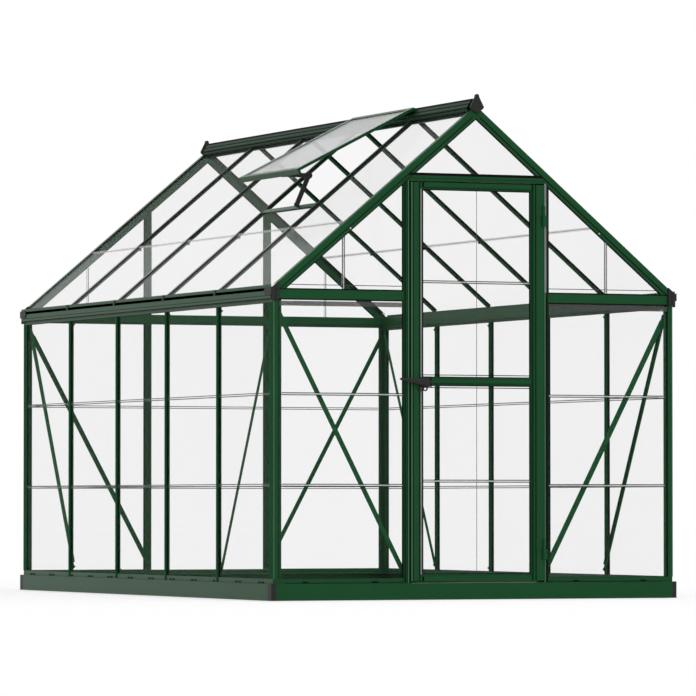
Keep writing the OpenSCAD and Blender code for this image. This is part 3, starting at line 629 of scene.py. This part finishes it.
bm = bmesh.new()
for s, top in ((-1, HEADER_Z), (1, TIE_TOP)):
    upright_strip(bm, FRONT, *mirrored(s, *INNER_RIB), SILL_Z, top, JAMB_RISE, LINE_T)
for s in (-1, 1):
    for side in (FRONT, BACK):
        edge = mirrored(s, HALF_W, HALF_W - POST_HIGHLIGHT_W)
        upright_strip(bm, side, *edge, SILL_TOP, EAVE_Z, 0, LINE_T)
piece("jamb_and_post_highlights", bm, HIGHLIGHT_GREEN, "house")


# grey strip on the right jamb, above the tie beam: painted reflection of the white surroundings

bm = bmesh.new()
span = (INNER_RIB[0] + FIT, OUTER_RIB[0] - FIT)
upright_strip(bm, FRONT, *span, TIE_TOP, HEADER_Z, JAMB_RISE, LINE_T)
piece("jamb_painted_reflection", bm, GREY_STRIP, "house")


# flanges of the corner posts over the side sheets, and strips on the side faces of the posts, in
# the greener copy of the frame paint that paints the light on those side faces

bm = bmesh.new()
for side in (LEFT, RIGHT):
    for s in (-1, 1):
        span = mirrored(s, HALF_L - POST_CAP, HALF_L - POST_FLANGE)
        upright_strip(bm, side, *span, SILL_TOP, EAVE_Z - LIP_DROP, CLEAR - PANE_IN, SKIN)
        span = mirrored(s, HALF_L, HALF_L - POST_CAP)
        upright_strip(bm, side, *span, SILL_TOP, EAVE_Z - LIP_DROP, 0, LINE_T)
piece("post_flanges_and_side_light", bm, SIDE_LIGHT_GREEN, "house")


# strips on the roof bars: grey on the lower part, a painted reflection, and black caps on the upper
# part; and the clips that hold their feet to the gutters

CAP_W = 20 * MM
CAP_T = 0.6 * MM
CAP_FOOT_IN = 14 * MM
CAP_HEAD_IN = 44 * MM
CAP_SPLIT = 0.65
CAP_FOOT = -(HALF_W - CAP_FOOT_IN) / math.cos(PITCH)
CAP_JOINT = CAP_SPLIT * CAP_FOOT
CAP_TOP = -CAP_HEAD_IN / math.cos(PITCH)
CLIP_W = 20 * MM
CLIP_RISE = (36 * MM, 60 * MM)
CLIP_T = 3 * MM


def bar_caps(bm, low, high):
    for side in (LEFT_SLOPE, RIGHT_SLOPE):
        for u in STUD_US:
            upright_strip(bm, side, u - CAP_W / 2, u + CAP_W / 2, low, high, 0, CAP_T)


bm = bmesh.new()
bar_caps(bm, CAP_FOOT, CAP_JOINT)
piece("lower_bar_painted_reflection", bm, REFLECTION_GREY, "house")

bm = bmesh.new()
bar_caps(bm, CAP_JOINT, CAP_TOP)
for side in (LEFT, RIGHT):
    for u in STUD_US:
        span = (u - CLIP_W / 2, u + CLIP_W / 2)
        upright_strip(bm, side, *span, *shifted(EAVE_Z, CLIP_RISE), GUTTER_OUT, CLIP_T)
piece("upper_bar_caps", bm, MATERIALS["black_plastic"], "house")


# milky sheet over the side bars of the vent

VENT_EDGE_T = 4.6 * MM
VENT_EDGE_LAP = 1.5 * MM
VENT_TOP_GAP = 3 * MM
VENT_MID = -(BAY_YS[1] + BAY_YS[2]) / 2
VENT_HALF = (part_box("vent_frame")[1].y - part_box("vent_frame")[0].y) / 2 - VENT_BAR
VENT_TOP = -VENT_BAR - VENT_TOP_GAP

bm = bmesh.new()
for s in (-1, 1):
    span = mirrored(s, VENT_HALF - VENT_EDGE_LAP, VENT_HALF + VENT_BAR)
    u0, u1 = shifted(VENT_MID, span)
    upright_strip(bm, VENT, u0, u1, -VENT_L, VENT_TOP, VENT_SHEET_TOP, VENT_EDGE_T)
piece("vent_sheet_edges", bm, MATERIALS["vent_sheet"], "house")


# edge beads of the clear joint strips, painted shade of their edges: dark on the door side, faint
# on the other walls

BEAD_W = 3.2 * MM
BEAD_H = 0.9 * MM
BEAD_STEPS = 6


def bead_profile():
    half = [math.pi * k / BEAD_STEPS for k in range(BEAD_STEPS + 1)]
    return [(BEAD_W / 2 * math.cos(t), BEAD_H * math.sin(t)) for t in half]


BEAD = bead_profile()


def strip_beads(bm, side, low, high, face, upright):
    """Beads of painted shade along both edges of one strip, whose solid has these corners."""
    mid = (low + high) / 2 - side.origin
    off = STRIP_H / 2 - BEAD_W / 2
    face = face - CLEAR
    if upright:
        u = mid.dot(side.u)
        for s in (-1, 1):
            at = u + s * off
            top = min(high.z, roof_height(at, RAFTER_H))
            run(bm, BEAD, side.at(at, low.z, -face), side.at(at, top, -face), side.u, side.n)
        return
    u0 = (low - side.origin).dot(side.u)
    u1 = (high - side.origin).dot(side.u)
    v = mid.dot(side.v)
    for s in (-1, 1):
        at = v + s * off
        run(bm, BEAD, side.at(u0, at, -face), side.at(u1, at, -face), side.v, side.n)


def nearest(sides, low, high):
    mid = (low + high) / 2
    return min(sides, key=lambda side: abs((mid - side.origin).dot(side.n)))


def wall_beads(bm, sides):
    for low, high in solids("wall_joint_strips"):
        side = nearest((FRONT, BACK, LEFT, RIGHT), low, high)
        span = high - low
        if side in sides:
            strip_beads(bm, side, low, high, STRIP_FACE, span.z > max(span.x, span.y))


bm = bmesh.new()
wall_beads(bm, (FRONT,))
piece("strip_beads", bm, MATERIALS["seal"], "house")

bm = bmesh.new()
wall_beads(bm, (BACK, LEFT, RIGHT))
piece("clear_strip_beads", bm, FAINT_SHADE_STRIP, "house")

LEAF_LIP_Y = LEAF_RECESS - PANE_IN
bm = bmesh.new()
for low, high in solids("door_joint_strips"):
    strip_beads(bm, LEAF, low, high, LEAF_LIP_Y + STRIP_FACE, False)
piece("leaf_strip_beads", bm, MATERIALS["seal"], "door")


# leaf: seals round its sheets; black strips of painted shade in the grooves of its stiles, on its
# left lip, along its middle rail and beside its left edge; painted highlight on its left edge; a
# grey strip on its left stile; and the seam in its sheets

LOW_RAIL, MID_RAIL, TOP_RAIL = sorted(solids("door_rails"), key=lambda b: b[0].z)
LEAF_PANES = [(LOW_RAIL[1].z, MID_RAIL[0].z), (MID_RAIL[1].z, TOP_RAIL[0].z)]
LEAF_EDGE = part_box("door_stiles")[1].x
LEAF_SEAL_W = 3.4 * MM
GROOVES = (262.5 * MM, 268 * MM)
EDGE_HIGHLIGHT_W = 5.5 * MM
EDGE_LINE_W = 5 * MM
MEETING_EDGE = EDGE_HIGHLIGHT_W - LEAF_EDGE
STILE_GREY_SPAN = (255.6 * MM, 262 * MM)
STILE_GREY_T = 0.8 * MM
SEAM_W = 2.6 * MM
SEAM_T = 0.5 * MM
RAIL_LINE = (8 * MM, 11.5 * MM)
RAIL_LINE_T = 0.8 * MM
LIP = (246.2 * MM, 254.8 * MM)
ON_LEAF_SHEET = CLEAR - LEAF_RECESS

bm = bmesh.new()
for v0, v1 in LEAF_PANES:
    framed_seals(bm, LEAF, -LEAF_IN, LEAF_IN, v0, v1, LEAF_RECESS, LEAF_SEAL_W)
    # black strip of painted shade on the recessed left lip
    upright_strip(bm, LEAF, *mirrored(-1, *LIP), v0, v1, -LEAF_LIP_Y, LINE_T)
for s in (-1, 1):
    upright_strip(bm, LEAF, *mirrored(s, *GROOVES), LEAF_LOW, LEAF_TOP, 0, LINE_T)
reach = LEAF_IN - LEAF_SEAL_W
for s, v in ((-1, MID_RAIL[0].z), (1, MID_RAIL[1].z)):
    v0, v1 = shifted(v, mirrored(s, *RAIL_LINE))
    level_strip(bm, LEAF, -reach, reach, v0, v1, ON_LEAF_SHEET, RAIL_LINE_T)
# black line of painted shade beside the painted highlight of the left edge
span = (MEETING_EDGE, MEETING_EDGE + EDGE_LINE_W)
upright_strip(bm, LEAF, *span, LEAF_LOW, LEAF_TOP, 0, LINE_T)
piece("leaf_seals_and_shade_lines", bm, MATERIALS["seal"], "door")

bm = bmesh.new()
for pane in LEAF_PANES:
    upright_strip(bm, LEAF, *mirrored(-1, *STILE_GREY_SPAN), *pane, 0, STILE_GREY_T)
piece("leaf_grey_strip", bm, GREY_STRIP, "door")

bm = bmesh.new()
upright_strip(bm, LEAF, -LEAF_EDGE, MEETING_EDGE, LEAF_LOW, LEAF_TOP, 0, LINE_T)
piece("leaf_edge_highlight", bm, HIGHLIGHT_GREEN, "door")

bm = bmesh.new()
for pane in LEAF_PANES:
    upright_strip(bm, LEAF, -SEAM_W / 2, SEAM_W / 2, *pane, ON_LEAF_SHEET, SEAM_T)
piece("leaf_sheet_seams", bm, SMOKED_STRIP, "door")


# strips that hold the front sheets at the tie beams

TIE_STRIP_GAP = 5.6 * MM
TIE_STRIP_H = 20 * MM
TIE_LINE_RISE = 15 * MM
TIE_LINE_H = 3.5 * MM
TIE_STRIP_T = 1.2 * MM

bm = bmesh.new()
for s in (-1, 1):
    low = EAVE_Z - TIE_STRIP_GAP - TIE_STRIP_H
    for v, h in ((low, TIE_STRIP_H), (TIE_TOP + TIE_LINE_RISE, TIE_LINE_H)):
        ends = mirrored(s, JAMB_OUT, min(HALF_W - POST_CAP, rafter_reach(v)))
        level_strip(bm, FRONT, *ends, v, v + h, CLEAR - PANE_IN, TIE_STRIP_T)
piece("tie_strips", bm, SMOKED_STRIP, "house")


# nuts on the inner side of the frame, screws of rafters, hinges and handle
# each outline is in millimetres: radius, then height

WASHER = [(6.2, 0.0), (6.2, 1.0)]
NUT = [(5.0, 1.0), (5.7, 1.5), (5.7, 5.2), (5.0, 5.8)]
BOLT_END = [(3.0, 5.8), (3.0, 7.6), (2.5, 8.2)]
SCREW = [(4.2, 0.0), (4.2, 0.8), (3.6, 1.8), (2.2, 2.3)]
WASHER_SIDES = 18
NUT_SIDES = 6
BOLT_SIDES = 12
SCREW_SIDES = 14


def in_mm(outline):
    return [(r * MM, h * MM) for r, h in outline]


def bolt(bm, at, axis):
    turned(bm, at, axis, in_mm(WASHER), WASHER_SIDES)
    turned(bm, at, axis, in_mm(NUT), NUT_SIDES)
    turned(bm, at, axis, in_mm(BOLT_END), BOLT_SIDES)


def screw(bm, at, axis):
    turned(bm, at, axis, in_mm(SCREW), SCREW_SIDES)


def inner_bolt(bm, side, u, v, depth):
    bolt(bm, side.at(u, v, -depth), -side.n)


BRACE_TOP = EAVE_Z - BRACE_SET
BRACE_FOOT = SILL_TOP + BRACE_SET
NUT_RISE = 16 * MM
STUD_FOOT = SILL_TOP + NUT_RISE
STUD_HEAD = EAVE_Z - LIP_DROP - NUT_RISE
BACK_STUD_MID = BACK_STUD - BACK_STUD_TRACK
RAFTER_SCREW_X = 569 * MM
RAFTER_SCREW_DEPTH = 34 * MM

bm = bmesh.new()
for side in (LEFT, RIGHT):
    for s in (-1, 1):
        inner_bolt(bm, side, s * (HALF_L - TRACK_IN), BRACE_TOP, BRACE_FACE)
        inner_bolt(bm, side, s * STUD_US[-1], BRACE_FOOT, BRACE_FACE)
        inner_bolt(bm, side, s * STUD_US[-2], STUD_FOOT, BAR_D)
    for u in STUD_US:
        inner_bolt(bm, side, u, STUD_HEAD, BAR_D)
for side, foot in ((FRONT, JAMB_OUT - JAMB_TRACK), (BACK, BACK_STUD_MID)):
    for s in (-1, 1):
        inner_bolt(bm, side, s * (HALF_W - TRACK_IN), BRACE_TOP - BRACE_STEP, BRACE_FACE)
        inner_bolt(bm, side, s * foot, BRACE_FOOT, BRACE_FACE)
        inner_bolt(bm, side, s * foot, EAVE_Z - NUT_RISE, BAR_D)
for side in (LEFT_SLOPE, RIGHT_SLOPE):
    for u in STUD_US:
        inner_bolt(bm, side, u, CAP_JOINT, BAR_D)
piece("frame_nuts", bm, MATERIALS["black_plastic"], "house")

bm = bmesh.new()
screw_z = roof_height(RAFTER_SCREW_X, RAFTER_SCREW_DEPTH)
for side in (FRONT, BACK):
    for s in (-1, 1):
        screw(bm, side.at(s * RAFTER_SCREW_X, screw_z), side.n)
piece("rafter_screws", bm, MATERIALS["fastener"], "house")

HINGE_SCREW_IN = 10 * MM
HINGE_SCREW_END = 11 * MM
HINGE_PLATE_OUT = 3.3 * MM

bm = bmesh.new()
for low, high in solids("hinge_knuckles"):
    for z in (low.z + HINGE_SCREW_END, high.z - HINGE_SCREW_END):
        screw(bm, Vector((low.x + HINGE_SCREW_IN, LEAF_Y - HINGE_PLATE_OUT, z)), LEAF.n)
piece("hinge_screws", bm, MATERIALS["frame"], "door")

PLATE_SCREW_IN = 6 * MM
PLATE_SCREWS = (7 * MM, 29 * MM)

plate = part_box("handle_plate")
bm = bmesh.new()
for drop in PLATE_SCREWS:
    screw(bm, Vector((plate[1].x - PLATE_SCREW_IN, plate[0].y, plate[1].z - drop)), LEAF.n)
piece("handle_screws", bm, MATERIALS["seal"], "door")


# lever of the handle: rounded grip that tapers to its tip, on a round hub

LEVER_L = 122 * MM
LEVER_ROOT = 15 * MM
LEVER_TIP = 5 * MM
LEVER_T = 10 * MM
LEVER_GAP = 12 * MM
LEVER_TILT = math.radians(7)
LEVER_STEPS = 24
LEVER_SIDES = 24
LEVER_SQUARE = 2.6
LEVER_ROUND = 0.3
LEVER_END_STEP = 0.15
LEVER_SMOOTH_ANGLE = math.radians(50)
HUB = [(9.5, 0.0), (11.0, 1.5), (11.0, 11.0), (9.5, 12.6)]
SHAFT = [(4.9, -5.2), (4.9, 1.0)]
HUB_SIDES = 32
SHAFT_SIDES = 24


def lever_section(t):
    """Place, half height and half thickness of the grip at a share t of its length."""
    along = t * (LEVER_L + LEVER_ROOT) - LEVER_ROOT
    tip = LEVER_L - LEVER_TIP
    half = LEVER_ROOT + (LEVER_TIP - LEVER_ROOT) * min(max(along / tip, 0), 1)
    if along < 0:
        half = math.sqrt(max(LEVER_ROOT ** 2 - along ** 2, 0))
    if along > tip:
        half = math.sqrt(max(LEVER_TIP ** 2 - (along - tip) ** 2, 0))
    thick = LEVER_T / 2 * min(1, (half / LEVER_TIP)) ** LEVER_ROUND
    return along, half, thick


def signed_power(x, p):
    return math.copysign(abs(x) ** p, x)


def lever_grip(bm, pivot):
    along_axis = Vector((-math.cos(LEVER_TILT), 0, math.sin(LEVER_TILT)))
    up = Vector((math.sin(LEVER_TILT), 0, math.cos(LEVER_TILT)))
    middle = pivot + LEAF.n * (LEVER_GAP + LEVER_T / 2)
    steps = LEVER_STEPS + 2 * LEVER_END_STEP
    rings = []
    for k in range(LEVER_STEPS + 1):
        t = (1 - math.cos(math.pi * (k + LEVER_END_STEP) / steps)) / 2
        along, half, thick = lever_section(t)
        ring = []
        for j in range(LEVER_SIDES):
            a = 2 * math.pi * j / LEVER_SIDES
            h = half * signed_power(math.cos(a), 2 / LEVER_SQUARE)
            d = thick * signed_power(math.sin(a), 2 / LEVER_SQUARE)
            ring.append(bm.verts.new(middle + along_axis * along + up * h + LEAF.n * d))
        rings.append(ring)
    skin(bm, rings)


joints = frame["record"]["behaviour"]["joints"]
lever_at = next(joint["pos_m"] for joint in joints if joint["name"] == "lever_turn")
PIVOT = Vector((lever_at[0], plate[0].y - FIT, lever_at[2]))
bm = bmesh.new()
lever_grip(bm, PIVOT)
turned(bm, PIVOT, LEAF.n, in_mm(HUB), HUB_SIDES)
turned(bm, PIVOT, LEAF.n, in_mm(SHAFT), SHAFT_SIDES)
lever = piece(
    "lever_grip", bm, MATERIALS["black_plastic"], "lever", LEVER_SMOOTH_ANGLE)
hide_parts("handle_lever")


# black patches in the outer faces of the sills: painted shade inside the drain slots

SLOT_RISE = (0.6 * MM, 8.6 * MM)
SLOT_L = 26 * MM
SLOT_GAP = 12 * MM
SLOT_PITCH = 252 * MM
SIDE_SLOTS = 12
FRONT_SLOTS = (459 * MM, 772 * MM)
BACK_SLOTS = (146 * MM, 459 * MM, 772 * MM)


def drain_slot(bm, side, u):
    span = (u - SLOT_L / 2, u + SLOT_L / 2)
    level_strip(bm, side, *span, *shifted(SILL_Z, SLOT_RISE), 0, LINE_T)


bm = bmesh.new()
for side in (LEFT, RIGHT):
    for k in range(SIDE_SLOTS):
        middle = (k - (SIDE_SLOTS - 1) / 2) * SLOT_PITCH
        for s in (-1, 1):
            drain_slot(bm, side, middle + s * (SLOT_L + SLOT_GAP) / 2)
for side, places in ((FRONT, FRONT_SLOTS), (BACK, BACK_SLOTS)):
    for u in places:
        for s in (-1, 1):
            drain_slot(bm, side, s * u)
piece("drain_slot_shade", bm, MATERIALS["seal"], "house")


# floor, light and camera


def seen_directly(tree):
    """1 for rays from the camera, from gloss and through glass, else 0."""
    path = tree.nodes.new("ShaderNodeLightPath")
    total = path.outputs["Is Camera Ray"]
    for name in ("Is Glossy Ray", "Is Transmission Ray"):
        both = tree.nodes.new("ShaderNodeMath")
        both.operation = "MAXIMUM"
        tree.links.new(total, both.inputs[0])
        tree.links.new(path.outputs[name], both.inputs[1])
        total = both.outputs["Value"]
    return total


def studio_floor():
    """Matt floor that takes soft shade and is lifted to white where it is seen."""
    m, tree, shader = new_material("studio_floor")
    shader.inputs["Base Color"].default_value = (FLOOR_ALBEDO, FLOOR_ALBEDO, FLOOR_ALBEDO, 1)
    shader.inputs["Roughness"].default_value = 1.0
    shader.inputs["Specular IOR Level"].default_value = 0.0
    shader.inputs["Emission Color"].default_value = WHITE
    lit = FLOOR_ALBEDO * (EVEN_LIGHT + KEY_LIGHT * KEY_TOWARDS.z * KEY_ON_LEVEL)
    fill = tree.nodes.new("ShaderNodeMath")
    fill.operation = "MULTIPLY"
    fill.inputs[1].default_value = 1 - lit
    tree.links.new(seen_directly(tree), fill.inputs[0])
    tree.links.new(fill.outputs["Value"], shader.inputs["Emission Strength"])
    r = FLOOR_REACH
    corners = [(-r, -r, FLOOR_Z), (r, -r, FLOOR_Z), (r, r, FLOOR_Z), (-r, r, FLOOR_Z)]
    mesh = bpy.data.meshes.new("floor")
    mesh.from_pydata(corners, [], [(0, 1, 2, 3)])
    mesh.materials.append(m)
    o = bpy.data.objects.new("floor", mesh)
    bpy.context.scene.collection.objects.link(o)


def studio_light():
    """White where it is seen, and light that leans towards the front right."""
    world = bpy.data.worlds.new("studio")
    bpy.context.scene.world = world
    world.use_nodes = True
    tree = world.node_tree
    link = tree.links.new
    place = tree.nodes.new("ShaderNodeTexCoord")
    lean = tree.nodes.new("ShaderNodeVectorMath")
    lean.operation = "DOT_PRODUCT"
    lean.inputs[1].default_value = KEY_TOWARDS
    link(place.outputs["Generated"], lean.inputs[0])
    level = tree.nodes.new("ShaderNodeMath")
    level.operation = "MULTIPLY_ADD"
    level.inputs[1].default_value = KEY_LIGHT
    level.inputs[2].default_value = EVEN_LIGHT
    link(lean.outputs["Value"], level.inputs[0])
    strength = tree.nodes.new("ShaderNodeMix")
    link(seen_directly(tree), strength.inputs["Factor"])
    link(level.outputs["Value"], strength.inputs["A"])
    strength.inputs["B"].default_value = 1.0
    link(strength.outputs["Result"], tree.nodes["Background"].inputs["Strength"])
    tree.nodes["Background"].inputs["Color"].default_value = WHITE


def photo_camera():
    cam = bpy.data.cameras.new("camera")
    cam.lens = CAMERA_LENS
    cam.sensor_width = SENSOR
    cam.clip_end = CLIP_END
    o = bpy.data.objects.new("camera", cam)
    bpy.context.scene.collection.objects.link(o)
    o.location = CAMERA_AT
    level = math.cos(CAMERA_PITCH)
    x = math.sin(CAMERA_YAW) * level
    y = math.cos(CAMERA_YAW) * level
    look = Vector((x, y, math.sin(CAMERA_PITCH)))
    o.rotation_euler = look.to_track_quat("-Z", "Y").to_euler()
    bpy.context.scene.camera = o


studio_floor()
studio_light()
photo_camera()
bpy.context.scene.view_settings.view_transform = "Standard"
